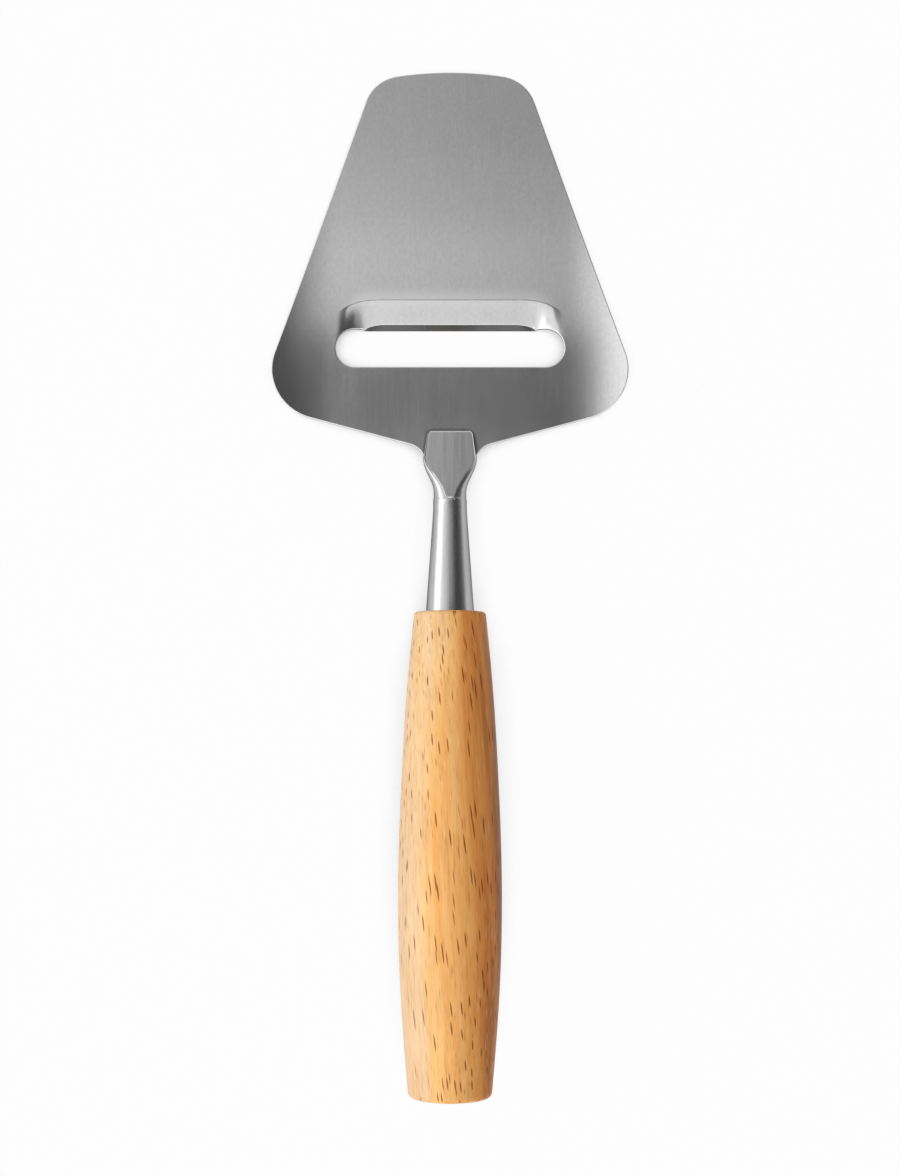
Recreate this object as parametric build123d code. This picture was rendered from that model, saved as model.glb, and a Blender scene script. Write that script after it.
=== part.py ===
"""A hand cheese slicer: a stamped steel blade on a steel shank with a turned beech handle.

Millimetres. The slicer lies on the plane z = 0 on its cutting edge and on the belly of its
handle, with the blade's tip towards +Y, the handle towards -Y and the side that the slices come
out on facing up. The origin is the middle of the bottom of its bounding box.

The pieces are drawn in the frame of the blade's sheet first: x across, y towards the tip from the
rear end of the blade's tongue, z up from the underside of the sheet.
"""

import math
import os

from build123d import *

# Blade sheet
blade_length = 94.5
sheet_thickness = 1.2
tip_width = 36.8
tip_crown = 2.0
tip_corner_radius = 9.5
shoulder_width = 92.4
shoulder_from_tip = 79.4
shoulder_radius = 11.8
tongue_width = 11.6
tongue_root_from_tip = 90.1
tongue_fillet_radius = 5.2

# Wings of the sheet, which bend up at both sides of its flat middle
flat_width = 56.4
wing_bend_radius = 42.0

# Slot and cutting lip
slot_length = 54.8
slot_width = 9.2
slot_front_from_tip = 61.3
lip_overhang = 0.3
press_from_tip = 53.6
press_crease_length = 1.3
press_depth = 2.2
pressed_length = 41.0
press_run_out = 6.5
bevel_width = 1.35
edge_land = 0.12

# How far down the run-out of the pressed lip has come, from its deep end to its flat end
run_out_place_shares = (0.0, 0.25, 0.5, 0.75, 1.0)
run_out_depth_shares = (1.0, 0.86, 0.5, 0.14, 0.0)

# Neck
handle_tilt_degrees = 4.0
pad_lap = 8.7
pad_wide_from_front = 7.1
pad_thickness = 1.6
pad_front_width = 10.7
pad_wide_width = 12.8
pad_front_corner = 0.4
pad_wide_corner = 0.8
neck_length_before_shank = 16.6
shank_throat_diameter = 8.0
shank_throat_length = 2.6
shank_end_diameter = 11.5
shank_length = 27.4
facet_tip_width = 1.7
throat_step = 0.12
seat_overcut = 0.2
tongue_clearance = 0.1

# Between the widest part of its pad and its shank, the neck narrows over the first share of the
# way, and its corners grow round as this power of the way.
narrowing_share = 0.82
rounding_power = 1.3
neck_stations = 9

# Welds between the pad and the sheet
nugget_diameter = 3.0
nugget_height = 0.8
nugget_spacing = 5.0

# Tang rod, glued into the handle
rod_diameter = 6.0
rod_socket_depth = 14.0
rod_length_in_handle = 66.0
rod_groove_depth = 0.5
rod_groove_width = 1.5
rod_groove_pitch = 9.0
rod_groove_count = 5
rod_first_groove = 16.0
rod_tip_chamfer = 0.8

# Handle
handle_length = 113.2
handle_front_diameter = 17.1
handle_belly_diameter = 24.4
handle_butt_diameter = 19.7
belly_from_front = 66.0
handle_front_rounding = 0.9
handle_butt_rounding = 1.4
handle_butt_dome = 1.0
seat_depth = 0.6
seat_clearance = 0.12
glue_thickness = 0.3
bore_end_gap = 2.0

# Between the front and the belly, and between the belly and the butt: how far along, and how much
# of the swelling is there
front_swell_place_shares = (0.26, 0.60)
front_swell_shares = (0.42, 0.79)
butt_taper_place_shares = (0.40, 0.75)
butt_taper_shares = (0.17, 0.62)

# One overrun for every cut that passes through a face
overrun = 2.0

# Solids that stand on their own origin
standing = (Align.CENTER, Align.CENTER, Align.MIN)

# Worked out from the sizes above
tip_y = blade_length
shoulder_y = tip_y - shoulder_from_tip
slot_front_y = tip_y - slot_front_from_tip
slot_middle_y = slot_front_y - slot_width / 2
edge_y = slot_front_y - lip_overhang
press_y = tip_y - press_from_tip
press_length = press_y - edge_y
tilt = math.radians(handle_tilt_degrees)


def sheet_outline():
    """The blade seen from above, without its slot."""
    half_tip, half_shoulder, half_tongue = tip_width / 2, shoulder_width / 2, tongue_width / 2
    tip_side_y = tip_y - tip_crown
    root_y = tip_y - tongue_root_from_tip
    right = [(half_tip, tip_side_y), (half_shoulder, shoulder_y), (half_tongue, root_y), (half_tongue, 0)]
    left = [(-x, y) for x, y in reversed(right)]
    tip_edge = ThreePointArc(left[-1], (0, tip_y), right[0])
    outline = make_face([tip_edge, Polyline(*right, *left)])
    corners = {
        (half_tip, tip_side_y): tip_corner_radius,
        (half_shoulder, shoulder_y): shoulder_radius,
        (half_tongue, root_y): tongue_fillet_radius,
    }
    for (x, y), radius in corners.items():
        ends = [
            vertex
            for vertex in outline.vertices()
            if math.isclose(abs(vertex.X), x) and math.isclose(vertex.Y, y)
        ]
        outline = fillet(ends, radius)
    return outline


def bent_sheet():
    """The sheet as a strip along y, flat in the middle, with a wing bent up on each side."""
    half_flat = flat_width / 2
    reach = math.asin((shoulder_width / 2 - half_flat) / wing_bend_radius)
    inner = wing_bend_radius - sheet_thickness

    def wing_point(side, radius, share):
        x = half_flat + radius * math.sin(reach * share)
        z = wing_bend_radius - radius * math.cos(reach * share)
        return side * x, z

    lower_right = [(half_flat, 0), *(wing_point(1, wing_bend_radius, share) for share in (0.5, 1))]
    upper_right = [(half_flat, sheet_thickness), *(wing_point(1, inner, share) for share in (0.5, 1))]
    lower_left = [(-x, z) for x, z in lower_right]
    upper_left = [(-x, z) for x, z in upper_right]
    section = make_face(
        [
            Line(lower_left[0], lower_right[0]),
            ThreePointArc(*lower_right),
            Line(lower_right[-1], upper_right[-1]),
            ThreePointArc(*upper_right),
            Line(upper_right[0], upper_left[0]),
            ThreePointArc(*upper_left),
            Line(upper_left[-1], lower_left[-1]),
            ThreePointArc(*lower_left),
        ]
    )
    return Pos(0, tip_y + overrun, 0) * extrude(Plane.XZ * section, tip_y + 2 * overrun)


def lip_section(x, share):
    """The pressed strip cut across at x, where share of the full depth is reached. It runs on past
    the cutting edge to the middle of the slot, at one slope."""
    run = press_y - slot_middle_y
    depth = press_depth * share * (run - press_crease_length) / (press_length - press_crease_length)
    plane = Plane(origin=(x, press_y, 0), x_dir=(0, -1, 0), z_dir=(-1, 0, 0))

    def surface(height):
        start = (0, height)
        crease = (press_crease_length, height)
        end = (run, height - depth)
        return Bezier(start, crease, crease, end)

    under, over = surface(0), surface(sheet_thickness)
    face = make_face([under, Line(under @ 1, over @ 1), over, Line(over @ 0, under @ 0)])
    return plane * face


def pressed_strip():
    """The strip of sheet in front of the slot, pressed down to the cutting edge, with a run-out at
    each end."""
    half = pressed_length / 2
    middle = extrude(lip_section(half, 1), pressed_length)
    ends = []
    for side in (1, -1):
        sections = [
            lip_section(side * (half + place * press_run_out), depth)
            for place, depth in zip(run_out_place_shares, run_out_depth_shares)
        ]
        ends.append(loft(sections))
    return middle + ends[0] + ends[1]


def slot_cut():
    """The slot, with the cutting lip standing a little way into it."""
    tall = 2 * (press_depth + sheet_thickness + overrun)
    slot = Pos(0, slot_middle_y) * SlotOverall(slot_length, slot_width)
    lip_half = pressed_length / 2 + lip_overhang
    lip = make_face(
        Polyline(
            (-lip_half - lip_overhang, slot_front_y + overrun),
            (-lip_half - lip_overhang, slot_front_y),
            (-lip_half, edge_y),
            (lip_half, edge_y),
            (lip_half + lip_overhang, slot_front_y),
            (lip_half + lip_overhang, slot_front_y + overrun),
            close=True,
        )
    )
    return Pos(0, 0, -tall / 2) * extrude(slot - lip, tall)


def bevel_cut():
    """The wedge that grinding takes off the top of the lip. It fades out towards the lip's ends."""
    half = pressed_length / 2
    fall = press_depth / (press_length - press_crease_length)

    def wedge(x, share):
        width = bevel_width * share
        edge_z = edge_land + (sheet_thickness - edge_land) * (1 - share) - press_depth
        back_z = sheet_thickness - press_depth + width * fall
        slope = (back_z - edge_z) / width
        past = overrun * share
        plane = Plane(origin=(x, edge_y, 0), x_dir=(0, 1, 0), z_dir=(1, 0, 0))
        corners = [
            (-past, edge_z - past * slope),
            (width + past, back_z + past * slope),
            (-past, back_z + past * slope),
        ]
        return plane * make_face(Polyline(*corners, close=True))

    ground = bevel_width / sheet_thickness * lip_overhang
    middle = loft([wedge(-half + ground, 1), wedge(half - ground, 1)])
    ends = []
    for side in (1, -1):
        fading = wedge(side * (half + lip_overhang), lip_overhang / bevel_width)
        ends.append(loft([wedge(side * (half - ground), 1), fading]))
    return middle + ends[0] + ends[1]


def nuggets():
    """Two welds, half in the pad and half in the sheet."""
    nugget = Cylinder(nugget_diameter / 2, nugget_height)
    places = [(side * nugget_spacing / 2, pad_lap / 2, sheet_thickness) for side in (-1, 1)]
    return [Pos(place) * nugget for place in places]


def blade():
    tall = 2 * shoulder_width
    outline = Pos(0, 0, -tall / 2) * extrude(sheet_outline(), tall)
    sheet = bent_sheet() & outline
    window_width = pressed_length + 2 * press_run_out
    window = Box(window_width, press_y - slot_middle_y, tall, align=(Align.CENTER, Align.MAX, Align.CENTER))
    plate = sheet - Pos(0, press_y, 0) * window + pressed_strip() - slot_cut() - bevel_cut()
    for nugget in nuggets():
        plate -= nugget
    return plate


def smooth(share):
    """A share from 0 to 1, eased at both ends."""
    share = min(max(share, 0), 1)
    return share * share * (3 - 2 * share)


def neck_section(frame, along, width, low, high, corner):
    """The neck cut square to its axis: a rectangle with rounded corners between two heights."""
    section = RectangleRounded(width, high - low, corner)
    return frame * Pos(0, (low + high) / 2, along) * section


def neck(frame):
    """The neck, whose frame has its origin under the tip of the facet, z along the axis towards
    the handle, x across and y up."""
    throat = shank_throat_diameter / 2

    def on_sheet(y, height):
        """The distance along the neck's axis, and the height over it, of a place on the sheet."""
        place = frame.to_local_coords(Vector(0, y, height))
        return place.Z, place.Y

    pad_end = throat - throat_step
    facet_tip_high = math.sqrt(pad_end**2 - (facet_tip_width / 2) ** 2)
    front_along, front_high = on_sheet(pad_lap, sheet_thickness + pad_thickness)
    facet_slope = (facet_tip_high - front_high) / -front_along

    # The stock stands a little over the facet and under the seat, which are then cut flat.
    facet_overcut = pad_end - facet_tip_high

    def stock_section(along, width, low, corner):
        high = min(facet_tip_high + facet_slope * along + facet_overcut, pad_end)
        return neck_section(frame, along, width, low - seat_overcut, high, corner)

    front_low = on_sheet(pad_lap, sheet_thickness)[1]
    wide_along, wide_low = on_sheet(pad_lap - pad_wide_from_front, sheet_thickness)
    front = stock_section(front_along - seat_overcut, pad_front_width, front_low, pad_front_corner)
    end_corner = pad_end - facet_overcut / 2

    # The last station lies inside the shank, a small step under its surface.
    stations = []
    for index in range(neck_stations + 1):
        way = index / (neck_stations - 1)
        eased = min(way, 1)
        width = pad_wide_width + (2 * pad_end - pad_wide_width) * smooth(eased / narrowing_share)
        low = wide_low + (seat_overcut - pad_end - wide_low) * smooth(eased)
        corner = pad_wide_corner + (end_corner - pad_wide_corner) * eased**rounding_power
        stations.append(stock_section(wide_along * (1 - way), width, low, corner))
    pad = loft([front, stations[0]], ruled=True) + loft(stations)

    # Flat top, flat front and flat seat
    big = 4 * pad_wide_width
    facet_angle = math.degrees(math.atan(facet_slope))
    facet_plane = frame * Pos(0, facet_tip_high, 0) * Rot(-facet_angle, 0, 0)
    over_facet = Box(big, big, 2 * big, align=(Align.CENTER, Align.MIN, Align.MAX))
    pad -= facet_plane * Pos(0, 0, overrun) * over_facet
    before_front = Box(big, big, big, align=(Align.CENTER, Align.MIN, Align.CENTER))
    pad -= Pos(0, pad_lap, 0) * before_front
    under_seat = Box(big, big, big, align=(Align.CENTER, Align.MIN, Align.MAX))
    pad -= Pos(0, -tongue_clearance, sheet_thickness) * under_seat

    end = shank_end_diameter / 2
    corners = [(0, 0), (throat, 0), (throat, shank_throat_length), (end, shank_length), (0, shank_length)]
    shank = revolve(Plane.XZ * make_face(Polyline(*corners, close=True)), Axis.Z)
    socket = Cylinder(rod_diameter / 2, rod_socket_depth, align=standing)
    shank -= Pos(0, 0, shank_length - rod_socket_depth) * socket
    whole = pad + frame * shank
    for nugget in nuggets():
        whole -= nugget
    return whole


def rod():
    """The tang rod in the neck's frame, with its grooves and its chamfered tip."""
    length = rod_socket_depth + rod_length_in_handle
    radius = rod_diameter / 2
    body = Cylinder(radius, length, align=standing)
    body = chamfer(body.edges().sort_by(Axis.Z)[-1], rod_tip_chamfer)
    ring = Cylinder(radius + overrun, rod_groove_width, align=standing)
    ring -= Cylinder(radius - rod_groove_depth, rod_groove_width, align=standing)
    for index in range(rod_groove_count):
        body -= Pos(0, 0, rod_socket_depth + rod_first_groove + index * rod_groove_pitch) * ring
    return Pos(0, 0, shank_length - rod_socket_depth) * body


def glue(rod_body):
    """The glue between the rod and the bore, in the neck's frame."""
    depth = rod_length_in_handle + bore_end_gap
    sleeve = Cylinder(rod_diameter / 2 + glue_thickness, depth, align=standing)
    return Pos(0, 0, shank_length) * sleeve - rod_body


def handle():
    """The turned handle in the neck's frame, with its bore and the seat of the shank."""
    front = handle_front_diameter / 2
    belly = handle_belly_diameter / 2
    butt = handle_butt_diameter / 2
    behind_belly = handle_length - belly_from_front
    points = [(front, handle_front_rounding)]
    for place, swell in zip(front_swell_place_shares, front_swell_shares):
        points.append((front + (belly - front) * swell, belly_from_front * place))
    points.append((belly, belly_from_front))
    for place, taper in zip(butt_taper_place_shares, butt_taper_shares):
        points.append((belly + (butt - belly) * taper, belly_from_front + behind_belly * place))
    points.append((butt, handle_length - handle_butt_rounding))
    side = Spline(*points)

    # Both rims are rounded, and the butt is a shallow dome.
    front_rim = TangentArc(side @ 0, (front - handle_front_rounding, 0), tangent=-(side % 0))
    butt_rim = TangentArc(side @ 1, (butt - handle_butt_rounding, handle_length), tangent=side % 1)
    dome_top = (0, handle_length + handle_butt_dome)
    dome = TangentArc(dome_top, butt_rim @ 1, tangent=(1, 0))
    axis_line = Line(dome_top, (0, 0))
    front_line = Line((0, 0), front_rim @ 1)
    profile = make_face([front_line, front_rim, side, butt_rim, dome, axis_line])
    body = revolve(Plane.XZ * profile, Axis.Z)
    bore_depth = seat_depth + rod_length_in_handle + bore_end_gap
    body -= Cylinder(rod_diameter / 2 + glue_thickness, bore_depth, align=standing)
    body -= Cylinder(shank_end_diameter / 2 + seat_clearance, seat_depth, align=standing)
    return Pos(0, 0, shank_length - seat_depth) * body


def neck_frame_over_table(handle_body):
    """The neck's frame, as high over the sheet as lets the handle's belly reach the plane of the
    cutting edge, with the handle tilted up towards its butt."""
    facet_tip_y = pad_lap - neck_length_before_shank
    axis = (0, -math.cos(tilt), math.sin(tilt))
    level = Plane(origin=(0, facet_tip_y, 0), x_dir=(1, 0, 0), z_dir=axis)
    belly_drop = (level * handle_body).bounding_box().min.Z
    return Plane(origin=(0, facet_tip_y, -press_depth - belly_drop), x_dir=(1, 0, 0), z_dir=axis)


handle_body = handle()
rod_body = rod()
neck_frame = neck_frame_over_table(handle_body)
pieces = {
    "blade_plate": blade(),
    "neck": neck(neck_frame),
    "weld_nuggets": Compound(nuggets()),
    "tang_rod": neck_frame * rod_body,
    "tang_adhesive": neck_frame * glue(rod_body),
    "handle": neck_frame * handle_body,
}

# The whole slicer is moved so that it stands on z = 0 around the origin.
box = Compound([solid for piece in pieces.values() for solid in piece.solids()]).bounding_box()
to_origin = Pos(-box.center().X, -box.center().Y, -box.min.Z)
os.makedirs("parts", exist_ok=True)
for name, piece in pieces.items():
    export_step(to_origin * piece, f"parts/{name}.step")
print("size of the whole slicer in millimetres", box.size)
print("neck's axis over the sheet's underside", round(neck_frame.origin.Z, 3))
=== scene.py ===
"""The looks of the hand cheese slicer: its blade, neck and handle with rounded edges, brushed steel
and turned beech, on a white table under a soft light from the left.

Sizes are in millimetres and become metres where a mesh is made. Blade sizes are drawn in the frame
of the sheet: x across, y towards the tip from the rear end of the tongue, z up from the underside.
"""

import math

import bpy
import numpy as np
from mathutils import Matrix, Vector
from mathutils.geometry import delaunay_2d_cdt


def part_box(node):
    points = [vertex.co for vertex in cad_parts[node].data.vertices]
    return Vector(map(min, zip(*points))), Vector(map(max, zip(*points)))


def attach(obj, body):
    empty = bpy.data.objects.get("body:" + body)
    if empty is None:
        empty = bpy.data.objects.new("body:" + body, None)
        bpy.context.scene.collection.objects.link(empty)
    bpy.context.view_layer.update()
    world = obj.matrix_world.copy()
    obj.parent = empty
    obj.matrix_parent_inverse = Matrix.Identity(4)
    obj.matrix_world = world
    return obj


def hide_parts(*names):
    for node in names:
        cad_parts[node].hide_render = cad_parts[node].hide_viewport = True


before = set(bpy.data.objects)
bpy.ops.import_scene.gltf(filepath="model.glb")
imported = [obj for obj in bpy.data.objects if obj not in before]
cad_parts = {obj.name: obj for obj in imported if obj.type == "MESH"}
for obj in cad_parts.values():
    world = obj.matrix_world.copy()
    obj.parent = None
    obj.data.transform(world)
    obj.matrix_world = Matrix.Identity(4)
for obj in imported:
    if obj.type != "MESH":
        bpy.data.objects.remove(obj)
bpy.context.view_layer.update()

MM = 0.001

# Blade sheet
BLADE_LENGTH = 94.5
SHEET_THICKNESS = 1.2
TIP_WIDTH = 36.8
TIP_CROWN = 2.0
TIP_CORNER_RADIUS = 9.5
SHOULDER_WIDTH = 92.4
SHOULDER_FROM_TIP = 79.4
SHOULDER_RADIUS = 11.8
TONGUE_WIDTH = 11.6
TONGUE_ROOT_FROM_TIP = 90.1
TONGUE_FILLET_RADIUS = 5.2
FLAT_WIDTH = 56.4
WING_BEND_RADIUS = 42.0
WING_SOFT_START = 2.5

# Slot and cutting lip
SLOT_LENGTH = 54.8
SLOT_WIDTH = 9.2
SLOT_FRONT_FROM_TIP = 61.3
LIP_OVERHANG = 0.3
PRESS_FROM_TIP = 54.4
PRESS_CREASE_LENGTH = 0.5
PRESS_DEPTH = 2.2
PRESSED_LENGTH = 41.0
PRESS_FLAT_LENGTH = 41.0
PRESS_RUN_OUT = 6.7
PRESS_CORNER_START = 16.5
PRESS_CORNER_FALL = 3.0
PRESS_CORNER_POWER = 2.5
BEVEL_WIDTH = 1.35
BEVEL_FADE_LENGTH = 5.0
BEVEL_FADE_POWER = 0.6
BEVEL_LEAST_WIDTH = 0.2
BEVEL_CREASE_EASE = 0.03
EDGE_LAND = 0.12
LIP_RAMP_LENGTH = 0.6

# Rounding of the sheet's rims and of the cutting edge, and where the blade's mesh has its points
RIM_RADIUS = 0.25
EDGE_RADIUS = 0.04
RIM_STEPS = 4
LOOP_STEP = 0.7
LATTICE_STEP = 1.15
LATTICE_CLEARANCE = 0.483
ROW_STEP = 0.5
NORMAL_STEP = 0.02
UV_LENGTH = 100
BEVEL_ROW_SHARES = (0.3, 0.6, 0.85, 0.95, 1.0, 1.05, 1.15, 1.45)
# How far the lighter strip along the pressed bend reaches: burnish from the press and a painted
# highlight
BURNISH_AND_HIGHLIGHT_REACH = 1.9
BURNISH_AND_HIGHLIGHT_BEHIND_BEND = 0.5
PRESS_ROWS = (-0.35, 0, 0.08, 0.18, 0.32, 0.55, 0.9, 1.5, 2.2, 2.9, 3.7, 4.6)

# Neck
HANDLE_TILT_DEGREES = 4.0
PAD_LAP = 8.7
PAD_WIDE_FROM_FRONT = 7.1
PAD_THICKNESS = 1.6
PAD_FRONT_WIDTH = 10.7
PAD_WIDE_WIDTH = 12.8
PAD_FRONT_CORNER = 0.4
PAD_WIDE_CORNER = 0.8
NECK_LENGTH_BEFORE_SHANK = 16.6
SHANK_THROAT_DIAMETER = 8.0
SHANK_THROAT_LENGTH = 2.6
SHANK_END_DIAMETER = 11.5
SHANK_LENGTH = 27.4
FACET_TIP_WIDTH = 1.7
THROAT_STEP = 0.12
TONGUE_CLEARANCE = 0.1
NARROWING_SHARE = 0.82
ROUNDING_POWER = 1.3
PAD_PLAN_CORNER = 1.2
PAD_TOP_ROUNDING = 0.45
FACET_EDGE_ROUNDING = 0.16
FACET_CROWN = 0.22
SHANK_END_ROUNDING = 0.15
NECK_UV_AROUND = 30
NECK_CORNER_STEPS = 7
FACET_SHARES = (0, 0.25, 0.5, 0.75, 0.9, 0.96)
PAD_FRONT_STATIONS = (0, 0.02, 0.06, 0.12, 0.2, 0.3, 0.42, 0.55, 0.75, 1.0, 1.25)
SHANK_STATION_SHARES = (0.03, 0.1, 0.25, 0.4, 0.55, 0.7, 0.85, 0.97)
ROD_DIAMETER = 6.0
ROD_SOCKET_DEPTH = 14.0
ROD_LENGTH_IN_HANDLE = 66.0

# Handle
HANDLE_LENGTH = 113.2
HANDLE_FRONT_DIAMETER = 17.1
HANDLE_BELLY_DIAMETER = 24.4
HANDLE_BUTT_DIAMETER = 19.7
BELLY_FROM_FRONT = 66.0
HANDLE_FRONT_ROUNDING = 0.9
HANDLE_BUTT_ROUNDING = 1.4
HANDLE_BUTT_DOME = 1.0
SEAT_DEPTH = 0.6
SEAT_CLEARANCE = 0.12
SEAT_CHAMFER = 0.08
GLUE_THICKNESS = 0.3
BORE_END_GAP = 2.0
FRONT_SWELL_PLACE_SHARES = (0.26, 0.60)
FRONT_SWELL_SHARES = (0.42, 0.79)
BUTT_TAPER_PLACE_SHARES = (0.40, 0.75)
BUTT_TAPER_SHARES = (0.17, 0.62)
HANDLE_SIDES = 128
HANDLE_STATIONS = 110
HANDLE_CORNER_STEPS = 7

# How far the beech takes to go from its pale side to its dark side: across x its base colour
# carries a painted light on the left and painted shade on the right
PAINTED_LIGHT_TO_SHADE_WIDTH = 26.0

# Camera, straight above the slicer and as far away as the photograph's seems to have been
CAMERA_HEIGHT = 492.5
CAMERA_Y = -1.9
SENSOR = 36.0
HALF_HEIGHT_SHARE = 0.28788

# How near another piece has to be for the steel to get painted shade in the joint
JOINT_SHADE_REACH = 0.9

# The colour mix node's sockets by their order, because several share a name
MIX_SHARE, MIX_FIRST, MIX_SECOND, MIX_RESULT = 0, 6, 7, 2

# Table and studio. The backdrop is given from its rim inwards, as pairs of a radius and a rise in
# metres, and the studio's brightness from left to right and from the near end to the far end, as
# pairs of a direction's x or y and a brightness, where 1 is white.
TABLE_HEIGHT = -0.1
TABLE_GREY = 0.32
TABLE_WHITE_SHARE = 0.98
TABLE_SHADE_REACH = 14.0
TABLE_OPEN_SHARE = 0.6
PANEL_HEIGHT = 500
BACKDROP_SIDES = 96
BACKDROP = ((12.0, 1.4), (11.7, 0.5), (11.0, 0.1), (10.0, 0.0), (0.0, 0.0))
BRIGHTEST = 4.0
ACROSS_BRIGHTNESS = (
    (-1.0, 2.4), (-0.93, 3.0), (-0.84, 2.9), (-0.74, 2.0), (-0.6, 1.05), (-0.4, 0.6), (-0.2, 0.31),
    (0.0, 0.12), (0.3, 0.09), (0.6, 0.07), (0.88, 0.10), (0.96, 0.25), (1.0, 0.55),
)
ALONG_BRIGHTNESS = (
    (-1.0, 0.9), (-0.9, 1.8), (-0.72, 1.8), (-0.6, 0.6), (-0.5, 0.12), (-0.45, 0.0),
    (0.74, 0.0), (0.86, 1.3), (1.0, 1.3),
)

# Worked out from the sizes above
TIP_Y = BLADE_LENGTH
SLOT_FRONT_Y = TIP_Y - SLOT_FRONT_FROM_TIP
SLOT_MIDDLE_Y = SLOT_FRONT_Y - SLOT_WIDTH / 2
EDGE_Y = SLOT_FRONT_Y - LIP_OVERHANG
PRESS_Y = TIP_Y - PRESS_FROM_TIP
PRESS_LENGTH = PRESS_Y - EDGE_Y
TILT = math.radians(HANDLE_TILT_DEGREES)


def smooth(share):
    """A share held between 0 and 1, eased at both ends."""
    share = np.clip(share, 0, 1)
    return share * share * (3 - 2 * share)


# ---- Blade sheet ----


def press_fall(from_crease):
    """How far the pressed strip has come down, this far behind the line where it starts."""
    run = PRESS_Y - SLOT_MIDDLE_Y
    depth = PRESS_DEPTH * (run - PRESS_CREASE_LENGTH) / (PRESS_LENGTH - PRESS_CREASE_LENGTH)
    t = np.linspace(0, 1, 400)
    places = 3 * (1 - t) * t * PRESS_CREASE_LENGTH + run * t**3
    return np.interp(from_crease, places, depth * t**3)


def press_line(x):
    """Where the pressed strip starts, at x: nearer to the slot towards its ends."""
    end = PRESS_FLAT_LENGTH / 2 + PRESS_RUN_OUT
    share = np.clip((np.abs(x) - PRESS_CORNER_START) / (end - PRESS_CORNER_START), 0, 1)
    return PRESS_Y - PRESS_CORNER_FALL * share**PRESS_CORNER_POWER


def pressed_down(x, y):
    """How far the press has taken the sheet down at a place in plan."""
    run_out = 1 - smooth((np.abs(x) - PRESS_FLAT_LENGTH / 2) / PRESS_RUN_OUT)
    return np.where(y > SLOT_MIDDLE_Y, run_out * press_fall(press_line(x) - y), 0)


def out_on_wing(x):
    """How far out on a wing x is, starting softly."""
    out = np.abs(x) - FLAT_WIDTH / 2
    return (out + np.sqrt(out**2 + WING_SOFT_START**2)) / 2


def under_height(x, y):
    """The underside of the sheet over a place in plan."""
    out = out_on_wing(x)
    wing = WING_BEND_RADIUS - np.sqrt(WING_BEND_RADIUS**2 - out**2)
    return wing - pressed_down(x, y)


def bevel_share(x):
    """How much of the ground bevel there is at x: all in the middle, none past the lip's ends."""
    half = PRESSED_LENGTH / 2
    way = np.clip((np.abs(x) - (half - BEVEL_FADE_LENGTH)) / BEVEL_FADE_LENGTH, 0, 1)
    return (1 - way**2) ** BEVEL_FADE_POWER


def bevel_width(x):
    """How far the ground bevel reaches from the edge at x."""
    return np.maximum(BEVEL_WIDTH * bevel_share(x), BEVEL_LEAST_WIDTH)


def top_height(x, y):
    """The top of the sheet over a place in plan, with the ground bevel."""
    out = out_on_wing(x)
    inner = WING_BEND_RADIUS - SHEET_THICKNESS
    wing = WING_BEND_RADIUS - np.sqrt(inner**2 - out**2)
    height = wing - pressed_down(x, y)
    share = bevel_share(x)
    way = 1 - (y - EDGE_Y) / bevel_width(x)
    ground = (way + np.sqrt(way**2 + BEVEL_CREASE_EASE**2)) / 2
    near_lip = (y < PRESS_Y) & (y > SLOT_MIDDLE_Y) & (share > 0)
    return height - np.where(near_lip, (SHEET_THICKNESS - EDGE_LAND) * share * ground, 0)


def normal_of(height, x, y):
    """The upward normals of a height over places in plan."""
    step = NORMAL_STEP
    rise_x = (height(x + step, y) - height(x - step, y)) / (2 * step)
    rise_y = (height(x, y + step) - height(x, y - step)) / (2 * step)
    normals = np.stack([-rise_x, -rise_y, np.ones_like(rise_x)], 1)
    return normals / np.linalg.norm(normals, axis=1, keepdims=True)


def straight(start, end, step=LOOP_STEP):
    """Points along a line, without its end."""
    start, end = np.array(start, float), np.array(end, float)
    count = max(1, round(np.linalg.norm(end - start) / step))
    return [start + (end - start) * index / count for index in range(count)]


def arc(centre, radius, start_angle, end_angle, step=LOOP_STEP):
    """Points along an arc, without its end."""
    count = max(2, math.ceil(abs(end_angle - start_angle) * radius / step))
    angles = [start_angle + (end_angle - start_angle) * index / count for index in range(count)]
    return [np.array(centre) + radius * np.array([math.cos(a), math.sin(a)]) for a in angles]


def rounded_corner(before, corner, after, radius):
    """The arc that rounds a corner between two lines: its start, its end and its points."""
    before, corner, after = (np.array(point, float) for point in (before, corner, after))
    back = (before - corner) / np.linalg.norm(before - corner)
    ahead = (after - corner) / np.linalg.norm(after - corner)
    half_angle = math.acos(float(back @ ahead)) / 2
    reach = radius / math.tan(half_angle)
    middle = (back + ahead) / np.linalg.norm(back + ahead)
    centre = corner + middle * radius / math.sin(half_angle)
    start, end = corner + back * reach, corner + ahead * reach
    first = math.atan2(*(start - centre)[::-1])
    turn = math.atan2(*(end - centre)[::-1]) - first
    turn = (turn + math.pi) % (2 * math.pi) - math.pi
    return start, end, arc(centre, radius, first, first + turn)


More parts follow.
